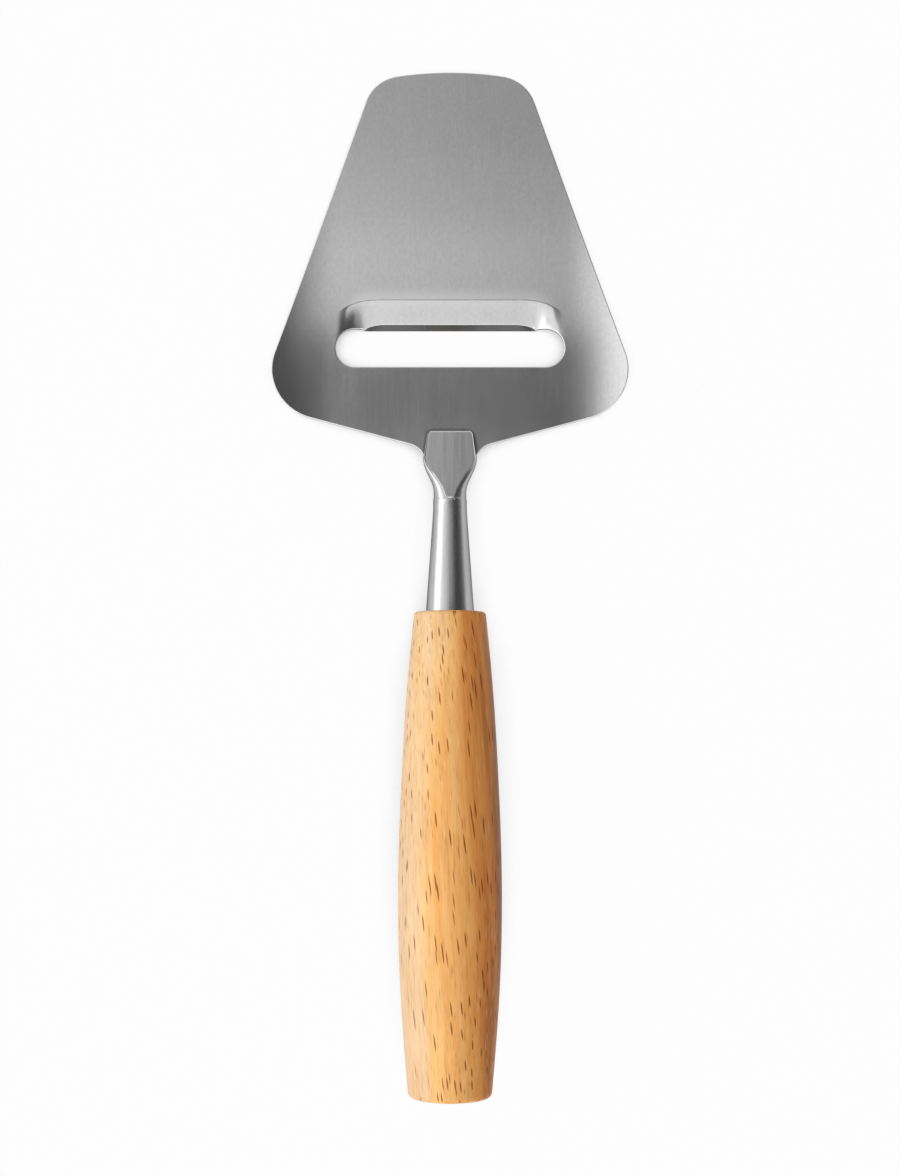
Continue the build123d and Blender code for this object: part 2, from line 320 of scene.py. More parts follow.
def outline_loop():
    """The blade's outline seen from above, clockwise from the middle of its tip."""
    half_tip, half_shoulder, half_tongue = TIP_WIDTH / 2, SHOULDER_WIDTH / 2, TONGUE_WIDTH / 2
    tip_side = np.array([half_tip, TIP_Y - TIP_CROWN])
    shoulder = np.array([half_shoulder, TIP_Y - SHOULDER_FROM_TIP])
    root = np.array([half_tongue, TIP_Y - TONGUE_ROOT_FROM_TIP])
    tongue_end = np.array([half_tongue, 0.0])

    # The crowned tip and the round corner between it and the straight side
    tip_radius = (half_tip**2 + TIP_CROWN**2) / (2 * TIP_CROWN)
    tip_centre = np.array([0, TIP_Y - tip_radius])
    along = (shoulder - tip_side) / np.linalg.norm(shoulder - tip_side)
    inward = np.array([along[1], -along[0]])
    base = tip_side + inward * TIP_CORNER_RADIUS - tip_centre
    middle = float(base @ along)
    rest = float(base @ base) - (tip_radius - TIP_CORNER_RADIUS) ** 2
    centre = tip_centre + base - along * (middle + math.sqrt(middle**2 - rest))
    from_tip = (centre - tip_centre) / np.linalg.norm(centre - tip_centre)
    first = math.atan2(from_tip[1], from_tip[0])
    last = math.atan2(-inward[1], -inward[0])
    side_start = centre - inward * TIP_CORNER_RADIUS

    shoulder_start, shoulder_end, shoulder_arc = rounded_corner(
        tip_side, shoulder, root, SHOULDER_RADIUS
    )
    root_start, root_end, root_arc = rounded_corner(
        shoulder, root, tongue_end, TONGUE_FILLET_RADIUS
    )
    right = [
        *arc(tip_centre, tip_radius, math.pi / 2, first),
        *arc(centre, TIP_CORNER_RADIUS, first, last),
        *straight(side_start, shoulder_start),
        *shoulder_arc,
        *straight(shoulder_end, root_start),
        *root_arc,
        *straight(root_end, tongue_end),
        tongue_end,
    ]
    left = [np.array([-x, y]) for x, y in right[:0:-1]]
    tongue_edge = straight(tongue_end, left[0])[1:]
    return np.array(right + tongue_edge + left)


def slot_loop():
    """The slot's edge seen from above, anticlockwise, with the lip standing a little into it."""
    radius = SLOT_WIDTH / 2
    half = SLOT_LENGTH / 2 - radius
    rear_y = SLOT_MIDDLE_Y - radius
    step = LOOP_STEP / 2
    loop = [
        *straight((half, SLOT_FRONT_Y), (-half, SLOT_FRONT_Y), step),
        *arc((-half, SLOT_MIDDLE_Y), radius, math.pi / 2, 3 * math.pi / 2, step),
        *straight((-half, rear_y), (half, rear_y)),
        *arc((half, SLOT_MIDDLE_Y), radius, -math.pi / 2, math.pi / 2, step),
    ]
    loop = np.array(loop)
    front = (loop[:, 1] > SLOT_FRONT_Y - 0.01) & (np.abs(loop[:, 0]) < half)
    stands_in = 1 - smooth((np.abs(loop[:, 0]) - PRESSED_LENGTH / 2) / LIP_RAMP_LENGTH)
    loop[:, 1] -= np.where(front, LIP_OVERHANG * stands_in, 0)
    return loop


def loop_normals(loop, inside_turn):
    """For each point of a closed loop, the way into the sheet, longer where a corner is sharp."""
    before, after = np.roll(loop, 1, 0), np.roll(loop, -1, 0)
    first = (loop - before) / np.linalg.norm(loop - before, axis=1, keepdims=True)
    second = (after - loop) / np.linalg.norm(after - loop, axis=1, keepdims=True)
    turned = [inside_turn * np.stack([way[:, 1], -way[:, 0]], 1) for way in (first, second)]
    bisector = turned[0] + turned[1]
    bisector /= np.linalg.norm(bisector, axis=1, keepdims=True)
    return bisector / (bisector * turned[0]).sum(1, keepdims=True)


def rim_radius(loop):
    """The rounding of each point of a loop: small along the cutting edge, larger elsewhere."""
    half = PRESSED_LENGTH / 2
    on_lip = (loop[:, 1] > SLOT_MIDDLE_Y) & (loop[:, 1] < SLOT_FRONT_Y + 0.01)
    sharp = np.where(on_lip, 1 - smooth((np.abs(loop[:, 0]) - half + 1.5) / 2), 0)
    return RIM_RADIUS + (EDGE_RADIUS - RIM_RADIUS) * sharp


def inside(points, loop):
    """Which points lie inside a closed loop."""
    x, y = points[:, 0][:, None], points[:, 1][:, None]
    x0, y0 = loop[:, 0][None], loop[:, 1][None]
    x1, y1 = np.roll(loop, -1, 0)[:, 0][None], np.roll(loop, -1, 0)[:, 1][None]
    crosses = (y0 > y) != (y1 > y)
    with np.errstate(divide="ignore", invalid="ignore"):
        at = x0 + (y - y0) * (x1 - x0) / (y1 - y0)
    return (crosses & (x < at)).sum(1) % 2 == 1


def far_from(points, others, distance):
    """Which points lie at least this far from all the others."""
    keep = np.ones(len(points), bool)
    for start in range(0, len(others), 200):
        part = others[start : start + 200]
        apart = np.linalg.norm(points[:, None] - part[None], axis=2).min(1)
        keep &= apart > distance
    return keep


def make_object(name, vertices, faces, normals=None, uvs=None, marks=None):
    """A smooth mesh object from places in metres, with named marks for its vertices."""
    mesh = bpy.data.meshes.new(name)
    mesh.from_pydata([tuple(v) for v in vertices], [], [tuple(f) for f in faces])
    mesh.update()
    mesh.polygons.foreach_set("use_smooth", [True] * len(mesh.polygons))
    if uvs is not None:
        layer = mesh.uv_layers.new(name="across_and_along")
        corners = np.zeros(len(mesh.loops), int)
        mesh.loops.foreach_get("vertex_index", corners)
        layer.data.foreach_set("uv", np.array(uvs)[corners].astype(np.float32).ravel())
    for mark, values in (marks or {}).items():
        attribute = mesh.attributes.new(mark, "FLOAT", "POINT")
        attribute.data.foreach_set("value", values.astype(np.float32))
    if normals is not None:
        mesh.normals_split_custom_set_from_vertices([tuple(n) for n in normals])
    piece = bpy.data.objects.new(name, mesh)
    bpy.context.scene.collection.objects.link(piece)
    return piece


def blade_sheet():
    """The stamped sheet, with every rim rounded, its lip pressed down and its edge ground."""
    loops = [outline_loop(), slot_loop()]
    ways_in = [loop_normals(loops[0], 1), loop_normals(loops[1], 1)]
    radii = [rim_radius(loop) for loop in loops]
    rims = [loop + way * radius[:, None] for loop, way, radius in zip(loops, ways_in, radii)]

    # Rows that follow the bevel's crease and the bend of the pressed strip
    half = PRESSED_LENGTH / 2
    row_x = np.arange(-half + 0.6, half - 0.5, ROW_STEP)
    width = bevel_width(row_x)
    rows = [np.stack([row_x, EDGE_Y + width * share], 1) for share in BEVEL_ROW_SHARES]
    press_x = np.arange(-half - PRESS_RUN_OUT, half + PRESS_RUN_OUT + 0.1, ROW_STEP)
    rows += [np.stack([press_x, press_line(press_x) - behind], 1) for behind in PRESS_ROWS]

    columns = np.arange(-SHOULDER_WIDTH / 2, SHOULDER_WIDTH / 2, LATTICE_STEP)
    lattice_rows = np.arange(LATTICE_STEP / 2, TIP_Y, LATTICE_STEP)
    lattice = []
    for index, y in enumerate(lattice_rows):
        lattice += [(x + LATTICE_STEP / 4 * (-1) ** index, y) for x in columns]
    lattice = np.array(lattice)
    fixed = np.concatenate([*rims, *rows])
    lattice = lattice[inside(lattice, rims[0]) & ~inside(lattice, rims[1])]
    lattice = lattice[far_from(lattice, fixed, LATTICE_CLEARANCE)]

    points, edges = [], []
    for line, closed in [(rim, True) for rim in rims] + [(row, False) for row in rows]:
        first = len(points)
        points += list(line)
        edges += [(first + i, first + i + 1) for i in range(len(line) - 1)]
        if closed:
            edges.append((len(points) - 1, first))
    points += list(lattice)
    made = delaunay_2d_cdt([Vector(p) for p in points], edges, [], 0, 1e-6, True)
    plan = np.array([tuple(v) for v in made[0]])
    triangles = np.array([f for f in made[2] if len(f) == 3])
    place_of = {}
    for index, sources in enumerate(made[3]):
        for source in sources:
            place_of[source] = index
    middles = plan[triangles].mean(1)
    triangles = triangles[inside(middles, rims[0]) & ~inside(middles, rims[1])]
    corners = plan[triangles]
    area = np.cross(corners[:, 1] - corners[:, 0], corners[:, 2] - corners[:, 0])
    triangles[area < 0] = triangles[area < 0][:, ::-1]

    x, y = plan[:, 0], plan[:, 1]
    count = len(plan)
    vertices = [np.stack([x, y, top_height(x, y)], 1), np.stack([x, y, under_height(x, y)], 1)]
    normals = [normal_of(top_height, x, y), -normal_of(under_height, x, y)]
    faces = [tuple(t) for t in triangles] + [tuple(count + t[::-1]) for t in triangles]

    # Rims: a quarter round from the top, the wall, and a quarter round to the underside
    total = 2 * count
    offset = 0
    for loop, way, radius in zip(loops, ways_in, radii):
        size = len(loop)
        top_ring = [place_of[offset + i] for i in range(size)]
        rings = [top_ring]
        outward = -way / np.linalg.norm(way, axis=1, keepdims=True)
        for height, side in ((top_height, 1), (under_height, -1)):
            angles = [math.pi / 2 * (k + 1) / RIM_STEPS for k in range(RIM_STEPS)]
            if side < 0:
                angles = [math.pi / 2 * (1 - k / RIM_STEPS) for k in range(RIM_STEPS)]
            for angle in angles:
                place = loop + way * (radius * (1 - math.sin(angle)))[:, None]
                z = height(place[:, 0], place[:, 1]) - side * radius * (1 - math.cos(angle))
                vertices.append(np.stack([place[:, 0], place[:, 1], z], 1))
                face_normal = side * normal_of(height, place[:, 0], place[:, 1])
                flat = np.concatenate([outward, np.zeros((size, 1))], 1)
                mixed = face_normal * math.cos(angle) + flat * math.sin(angle)
                normals.append(mixed / np.linalg.norm(mixed, axis=1, keepdims=True))
                rings.append(list(range(total, total + size)))
                total += size
        rings.append([count + place_of[offset + i] for i in range(size)])
        for upper, lower in zip(rings, rings[1:]):
            for i in range(size):
                j = (i + 1) % size
                faces.append((upper[i], upper[j], lower[j], lower[i]))
        offset += size

    vertices = np.concatenate(vertices)
    normals = np.concatenate(normals)
    uvs = vertices[:, :2] / UV_LENGTH
    x, y, z = vertices.T
    # The ground bevel is marked so that its steel can be painted dark, a painted dark reflection
    on_top = z > under_height(x, y) + EDGE_LAND / 4
    near_lip = (y > EDGE_Y - 0.05) & (y < EDGE_Y + 1.01 * bevel_width(x))
    ground = on_top & near_lip & (bevel_share(x) > 0.05)
    # Painted highlight, partly burnish: the steel is made lighter along the bend of the pressed
    # strip
    before_bend = y - press_line(x)
    along_bend = 1 - smooth((np.abs(x) - PRESS_FLAT_LENGTH / 2) / PRESS_RUN_OUT)
    burnish_and_painted_highlight = along_bend * np.exp(-((before_bend / BURNISH_AND_HIGHLIGHT_REACH) ** 2))
    burnish_and_painted_highlight *= np.where(before_bend < 0, BURNISH_AND_HIGHLIGHT_BEHIND_BEND, 1)
    low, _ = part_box("blade_plate")
    to_frame = np.array([0, low.y, low.z + float(press_fall(PRESS_LENGTH)) * MM])
    marks = {"ground": ground, "burnish_and_painted_highlight": burnish_and_painted_highlight}
    vertices = vertices * MM + to_frame
    return make_object("brushed_blade_sheet", vertices, faces, normals, uvs, marks)


# ---- Neck ----


def neck_place():
    """The neck's frame in metres: its origin under the tip of the facet, z along the axis towards
    the handle, x across and y up, found from the box of the neck."""
    low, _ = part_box("blade_plate")
    _, neck_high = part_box("neck")
    axis = Vector((0, -math.cos(TILT), math.sin(TILT)))
    up = Vector((0, math.sin(TILT), math.cos(TILT)))
    across = up.cross(axis)
    facet_tip_y = low.y + (PAD_LAP - NECK_LENGTH_BEFORE_SHANK) * MM
    end_top = SHANK_LENGTH * math.sin(TILT) + SHANK_END_DIAMETER / 2 * math.cos(TILT)
    origin = Vector((0, facet_tip_y, neck_high.z - end_top * MM))
    place = Matrix((across, up, axis)).transposed().to_4x4()
    place.translation = origin
    return place


def neck():
    """The spade pad with its V-shaped facet, the throat and the conical shank with its socket."""
    place = neck_place()
    to_neck = place.inverted()
    low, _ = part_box("blade_plate")
    sheet_top = low.z + (float(press_fall(PRESS_LENGTH)) + SHEET_THICKNESS) * MM

    def on_sheet(y, height=0.0):
        """Along and over the neck's axis, in millimetres, of a place on top of the sheet."""
        point = to_neck @ Vector((0, low.y + y * MM, sheet_top + height * MM))
        return point.z / MM, point.y / MM

    throat = SHANK_THROAT_DIAMETER / 2
    pad_end = throat - THROAT_STEP
    facet_tip_high = math.sqrt(pad_end**2 - (FACET_TIP_WIDTH / 2) ** 2)
    facet_overcut = pad_end - facet_tip_high
    front_along, front_high = on_sheet(PAD_LAP, PAD_THICKNESS)
    facet_slope = (facet_tip_high - front_high) / -front_along
    wide_along, wide_low = on_sheet(PAD_LAP - PAD_WIDE_FROM_FRONT)
    step_along, _ = on_sheet(-TONGUE_CLEARANCE)
    end_corner = pad_end - facet_overcut / 2

    def section(along):
        """The neck cut square to its axis: points from the middle of its top, round its right side
        to the middle of its underside."""
        if along < wide_along:
            share = (along - front_along) / (wide_along - front_along)
            width = PAD_FRONT_WIDTH + (PAD_WIDE_WIDTH - PAD_FRONT_WIDTH) * share
            corner = PAD_FRONT_CORNER + (PAD_WIDE_CORNER - PAD_FRONT_CORNER) * max(share, 0)
            bottom = wide_low
        else:
            eased = min(1 - along / wide_along, 1)
            narrowing = smooth(eased / NARROWING_SHARE)
            width = PAD_WIDE_WIDTH + (2 * pad_end - PAD_WIDE_WIDTH) * narrowing
            bottom = wide_low + (-pad_end - wide_low) * smooth(eased)
            corner = PAD_WIDE_CORNER + (end_corner - PAD_WIDE_CORNER) * eased**ROUNDING_POWER
        facet = facet_tip_high + facet_slope * along
        stock_top = min(facet + facet_overcut, pad_end)

        # Near its front the pad is rounded, in plan and along its top edge.
        from_front = max(along - front_along, 0)
        if from_front < PAD_PLAN_CORNER:
            drawn_in = PAD_PLAN_CORNER - from_front
            width -= 2 * (PAD_PLAN_CORNER - math.sqrt(PAD_PLAN_CORNER**2 - drawn_in**2))
        if from_front < PAD_TOP_ROUNDING:
            drawn_in = PAD_TOP_ROUNDING - from_front
            fall = PAD_TOP_ROUNDING - math.sqrt(PAD_TOP_ROUNDING**2 - drawn_in**2)
            facet -= fall
            stock_top -= fall
        half = width / 2
        corner = min(corner, (stock_top - bottom) / 2, half)
        centre_x, centre_y = half - corner, stock_top - corner
        facet_depth = min(stock_top - facet, corner)
        start = math.asin(np.clip((corner - facet_depth) / corner, -1, 1))
        edge_x = centre_x + corner * math.cos(start)
        crown = FACET_CROWN * (2 * edge_x / PAD_WIDE_WIDTH) ** 2
        facet -= crown
        flat = [(edge_x * share, facet + crown * (1 - share**2)) for share in FACET_SHARES]
        flat.append((max(edge_x - FACET_EDGE_ROUNDING, 0), facet))
        upper, lower = [], []
        lower_y = bottom + corner
        for index in range(NECK_CORNER_STEPS + 1):
            angle = start * (1 - index / NECK_CORNER_STEPS)
            upper.append((centre_x + corner * math.cos(angle), centre_y + corner * math.sin(angle)))
            angle = -math.pi / 2 * index / NECK_CORNER_STEPS
            lower.append((centre_x + corner * math.cos(angle), lower_y + corner * math.sin(angle)))
        upper[0] = (edge_x + 0.3 * FACET_EDGE_ROUNDING, facet - 0.3 * FACET_EDGE_ROUNDING)
        side = [(half, centre_y + (lower_y - centre_y) * share) for share in (0.33, 0.67)]
        base = [(centre_x * share, bottom) for share in (0.7, 0.35, 0)]
        points = np.array(flat + upper + side + lower + base)
        if along < step_along + 1e-6:
            seat = wide_low + (along - wide_along) * math.tan(-TILT)
            points[:, 1] = np.maximum(points[:, 1], seat)
        return points

    def closed(points):
        left = points[-2:0:-1] * np.array([-1, 1])
        return np.concatenate([points, left])

    near_front = [front_along + along for along in PAD_FRONT_STATIONS]
    to_wide = np.linspace(front_along + 1.6, wide_along - 0.3, 10)
    to_step = [wide_along, wide_along + 0.5, wide_along + 1.0, step_along]
    to_throat = np.linspace(step_along + 0.001, -0.15, 26)
    stations = [*near_front, *to_wide, *to_step, *to_throat]
    rings = []
    for along in stations:
        outline = closed(section(along))
        rings.append(np.column_stack([outline, np.full(len(outline), along)]))

    # Round stations, with their points first at the angles of the last station before them and
    # farther back evenly spread
    last = rings[-1]
    angles = np.unwrap(np.arctan2(last[:, 1], last[:, 0]))
    even_angles = angles[0] - 2 * math.pi * np.arange(len(angles)) / len(angles)
    end = SHANK_END_DIAMETER / 2
    socket = ROD_DIAMETER / 2
    rounds = [(throat - 0.06, 0.1), (throat, 0.3), (throat, 0.6), (throat, 1.2), (throat, 2.0)]
    rounds += [(throat, SHANK_THROAT_LENGTH - 0.25), (throat + 0.008, SHANK_THROAT_LENGTH)]
    for share in SHANK_STATION_SHARES:
        along = SHANK_THROAT_LENGTH + (SHANK_LENGTH - SHANK_THROAT_LENGTH) * share
        rounds.append((throat + (end - throat) * share, along))
    rounds += [
        (end - 0.3 * SHANK_END_ROUNDING, SHANK_LENGTH - SHANK_END_ROUNDING),
        (end - SHANK_END_ROUNDING, SHANK_LENGTH),
        (socket, SHANK_LENGTH),
        (socket, SHANK_LENGTH - ROD_SOCKET_DEPTH),
    ]
    for radius, along in rounds:
        turned = angles + (even_angles - angles) * smooth(min(along / SHANK_THROAT_LENGTH, 1))
        circle = np.stack([np.cos(turned), np.sin(turned)], 1) * radius
        rings.append(np.column_stack([circle, np.full(len(circle), along)]))

    size = len(rings[0])
    vertices = np.concatenate(rings)
    faces = []
    for ring in range(len(rings) - 1):
        near, far = ring * size, (ring + 1) * size
        for i in range(size):
            j = (i + 1) % size
            faces.append((near + i, near + j, far + j, far + i))
    front_middle = len(vertices)
    socket_middle = front_middle + 1
    middles = [rings[0].mean(0), (0, 0, SHANK_LENGTH - ROD_SOCKET_DEPTH)]
    vertices = np.concatenate([vertices, middles])
    first = (len(rings) - 1) * size
    for i in range(size):
        j = (i + 1) % size
        faces.append((front_middle, j, i))
        faces.append((socket_middle, first + i, first + j))
    around = np.concatenate([np.arange(size) / size] * len(rings) + [[0, 0]])
    uvs = np.stack([around * NECK_UV_AROUND, vertices[:, 2]], 1) / UV_LENGTH
    piece = make_object("forged_neck", vertices * MM, faces, uvs=uvs)
    piece.data.transform(place)
    return piece


# ---- Handle ----


def cubic_through(places, values):
    """A smooth curve through points, bending least at its ends, as a function."""
    places, values = np.array(places, float), np.array(values, float)
    gaps = np.diff(places)
    slopes = np.diff(values) / gaps
    size = len(places)
    system, right = np.zeros((size, size)), np.zeros(size)
    system[0, 0] = system[-1, -1] = 1
    for i in range(1, size - 1):
        system[i, i - 1 : i + 2] = gaps[i - 1], 2 * (gaps[i - 1] + gaps[i]), gaps[i]
        right[i] = 6 * (slopes[i] - slopes[i - 1])
    bends = np.linalg.solve(system, right)

    def curve(at):
        i = np.clip(np.searchsorted(places, at) - 1, 0, size - 2)
        before, after, gap = at - places[i], places[i + 1] - at, gaps[i]
        bent = (bends[i] * after**3 + bends[i + 1] * before**3) / (6 * gap)
        start = values[i] / gap - bends[i] * gap / 6
        end = values[i + 1] / gap - bends[i + 1] * gap / 6
        return bent + start * after + end * before

    return curve


def turned(profile, sides):
    """Vertices and faces of a profile of (radius, height) pairs turned about z."""
    vertices, faces, rings = [], [], []
    for radius, height in profile:
        count = sides if radius else 1
        rings.append([len(vertices) + index for index in range(count)])
        for index in range(count):
            angle = 2 * math.pi * index / count
            vertices.append((radius * math.cos(angle), radius * math.sin(angle), height))
    for near, far in zip(rings, rings[1:]):
        for i in range(sides):
            j = (i + 1) % sides
            corners = [near[k % len(near)] for k in (i, j)] + [far[k % len(far)] for k in (j, i)]
            faces.append(tuple(dict.fromkeys(corners)))
    return np.array(vertices), faces


def handle():
    """The turned handle: front rim, swelling belly, butt rim and dome, seat and bore."""
    diameters = (HANDLE_FRONT_DIAMETER, HANDLE_BELLY_DIAMETER, HANDLE_BUTT_DIAMETER)
    front, belly, butt = (diameter / 2 for diameter in diameters)
    behind = HANDLE_LENGTH - BELLY_FROM_FRONT
    places, radii = [HANDLE_FRONT_ROUNDING], [front]
    for share, swell in zip(FRONT_SWELL_PLACE_SHARES, FRONT_SWELL_SHARES):
        places.append(BELLY_FROM_FRONT * share)
        radii.append(front + (belly - front) * swell)
    places.append(BELLY_FROM_FRONT)
    radii.append(belly)
    for share, taper in zip(BUTT_TAPER_PLACE_SHARES, BUTT_TAPER_SHARES):
        places.append(BELLY_FROM_FRONT + behind * share)
        radii.append(belly + (butt - belly) * taper)
    places.append(HANDLE_LENGTH - HANDLE_BUTT_ROUNDING)
    radii.append(butt)
    side = cubic_through(places, radii)

    seat = SHANK_END_DIAMETER / 2 + SEAT_CLEARANCE
    bore = ROD_DIAMETER / 2 + GLUE_THICKNESS
    bore_depth = SEAT_DEPTH + ROD_LENGTH_IN_HANDLE + BORE_END_GAP
    profile = [(0, bore_depth), (bore, bore_depth), (bore, SEAT_DEPTH), (seat, SEAT_DEPTH)]
    profile += [(seat, SEAT_CHAMFER), (seat + SEAT_CHAMFER, 0)]
    flat_end = front - HANDLE_FRONT_ROUNDING
    profile += [(seat + 0.4, 0), (flat_end - 0.2, 0), (flat_end, 0)]
    for index in range(1, HANDLE_CORNER_STEPS):
        angle = math.pi / 2 * index / HANDLE_CORNER_STEPS
        radius = flat_end + HANDLE_FRONT_ROUNDING * math.sin(angle)
        profile.append((radius, HANDLE_FRONT_ROUNDING * (1 - math.cos(angle))))
    side_end = HANDLE_LENGTH - HANDLE_BUTT_ROUNDING
    for along in np.linspace(HANDLE_FRONT_ROUNDING, side_end, HANDLE_STATIONS):
        profile.append((float(side(along)), along))
    dome_radius = butt - HANDLE_BUTT_ROUNDING
    for index in range(1, HANDLE_CORNER_STEPS + 1):
        angle = math.pi / 2 * index / HANDLE_CORNER_STEPS
        radius = dome_radius + HANDLE_BUTT_ROUNDING * math.cos(angle)
        profile.append((radius, HANDLE_LENGTH - HANDLE_BUTT_ROUNDING * (1 - math.sin(angle))))
    for share in (0.9, 0.75, 0.5, 0.25):
        profile.append((dome_radius * share, HANDLE_LENGTH + HANDLE_BUTT_DOME * (1 - share**2)))
    profile.append((0, HANDLE_LENGTH + HANDLE_BUTT_DOME))

    vertices, faces = turned(profile, HANDLE_SIDES)
    piece = make_object("turned_beech_handle", vertices * MM, faces)
    to_seat = Matrix.Translation((0, 0, (SHANK_LENGTH - SEAT_DEPTH) * MM))
    piece.data.transform(neck_place() @ to_seat)
    return piece


# ---- Materials ----


class Wiring:
    """The nodes of a new material or world, made and joined in a few words."""

    def __init__(self, name, kind=bpy.data.materials):
        self.owner = kind.new(name)
        self.owner.use_nodes = True
        self.tree = self.owner.node_tree
        self.shader = self.tree.nodes.get("Principled BSDF")
        coordinates = self.node("ShaderNodeTexCoord").outputs
        self.place, self.direction = coordinates["Object"], coordinates["Generated"]

    def node(self, kind, sockets=None, **settings):
        """A new node, with its settings and with constant values for its sockets."""
        made = self.tree.nodes.new(kind)
        for key, value in settings.items():
            setattr(made, key, value)
        for socket, value in (sockets or {}).items():
            made.inputs[socket].default_value = value
        return made

    def join(self, source, target):
        self.tree.links.new(source, target)

    def feed(self, socket, source):
        """Joins a source to a socket of the shader."""
        self.join(source, self.shader.inputs[socket])

    def stretched(self, cycles_per_mm, turn=(0, 0, 0)):
        """Texture coordinates with so many cycles for each millimetre along x, y and z, after the
        texture has been turned by so many degrees about them."""
        sizes, angles = [MM / cycles for cycles in cycles_per_mm], [math.radians(a) for a in turn]
        sockets = {"Scale": sizes, "Rotation": angles}
        mapping = self.node("ShaderNodeMapping", sockets, vector_type="TEXTURE")
        self.join(self.place, mapping.inputs["Vector"])
        return mapping.outputs["Vector"]

    def noise(self, cycles_per_mm, detail=3.0, rough=0.5, turn=(0, 0, 0)):
        sockets = {"Scale": 1.0, "Detail": detail, "Roughness": rough}
        noise = self.node("ShaderNodeTexNoise", sockets)
        self.join(self.stretched(cycles_per_mm, turn), noise.inputs["Vector"])
        return noise.outputs["Fac"]

    def ramp(self, value, *stops):
        """A colour for each value, from (place, colour) pairs."""
        ramp = self.node("ShaderNodeValToRGB")
        entries = ramp.color_ramp.elements
        while len(entries) < len(stops):
            entries.new(0.5)
        for entry, (at, colour) in zip(entries, stops):
            entry.position = at
            entry.color = (*colour, 1)
        self.join(value, ramp.inputs["Fac"])
        return ramp.outputs["Color"]

    def range(self, value, low, high, new_low, new_high):
        """A value moved from one range to another and held inside it."""
        limits = {"From Min": low, "From Max": high, "To Min": new_low, "To Max": new_high}
        made = self.node("ShaderNodeMapRange", limits)
        self.join(value, made.inputs["Value"])
        return made.outputs["Result"]

    def math(self, how, first, second=None):
        made = self.node("ShaderNodeMath", operation=how)
        for socket, value in zip(made.inputs, (first, second)):
            if isinstance(value, (int, float)):
                socket.default_value = value
            elif value is not None:
                self.join(value, socket)
        return made.outputs["Value"]

    def mix(self, share, first, second, how="MIX"):
        made = self.node("ShaderNodeMix", data_type="RGBA", blend_type=how)
        sockets = [made.inputs[order] for order in (MIX_SHARE, MIX_FIRST, MIX_SECOND)]
        for socket, value in zip(sockets, (share, first, second)):
            if isinstance(value, (int, float)):
                socket.default_value = value
            elif isinstance(value, tuple):
                socket.default_value = (*value, 1)
            else:
                self.join(value, socket)
        return made.outputs[MIX_RESULT]

    def bump(self, height, strength, distance_mm, under=None):
        made = self.node("ShaderNodeBump", {"Strength": strength, "Distance": distance_mm * MM})
        self.join(height, made.inputs["Height"])
        if under is not None:
            self.join(under, made.inputs["Normal"])
        return made.outputs["Normal"]

    def shade(self, reach_mm):
        """1 in the open, and less where something stands near."""
        reach = {"Distance": reach_mm * MM}
        return self.node("ShaderNodeAmbientOcclusion", reach, samples=8).outputs["AO"]

    def rays(self, *kinds):
        """1 for a ray of any of these kinds, and 0 for others."""
        path = self.node("ShaderNodeLightPath").outputs
        seen = path[kinds[0]]
        for kind in kinds[1:]:
            seen = self.math("MAXIMUM", seen, path[kind])
        return seen

    def blend(self, share, first, second):
        """A shader that turns into a second one by this share."""
        made = self.node("ShaderNodeMixShader")
        for socket, source in zip(made.inputs, (share, first, second)):
            self.join(source, socket)
        return made.outputs["Shader"]


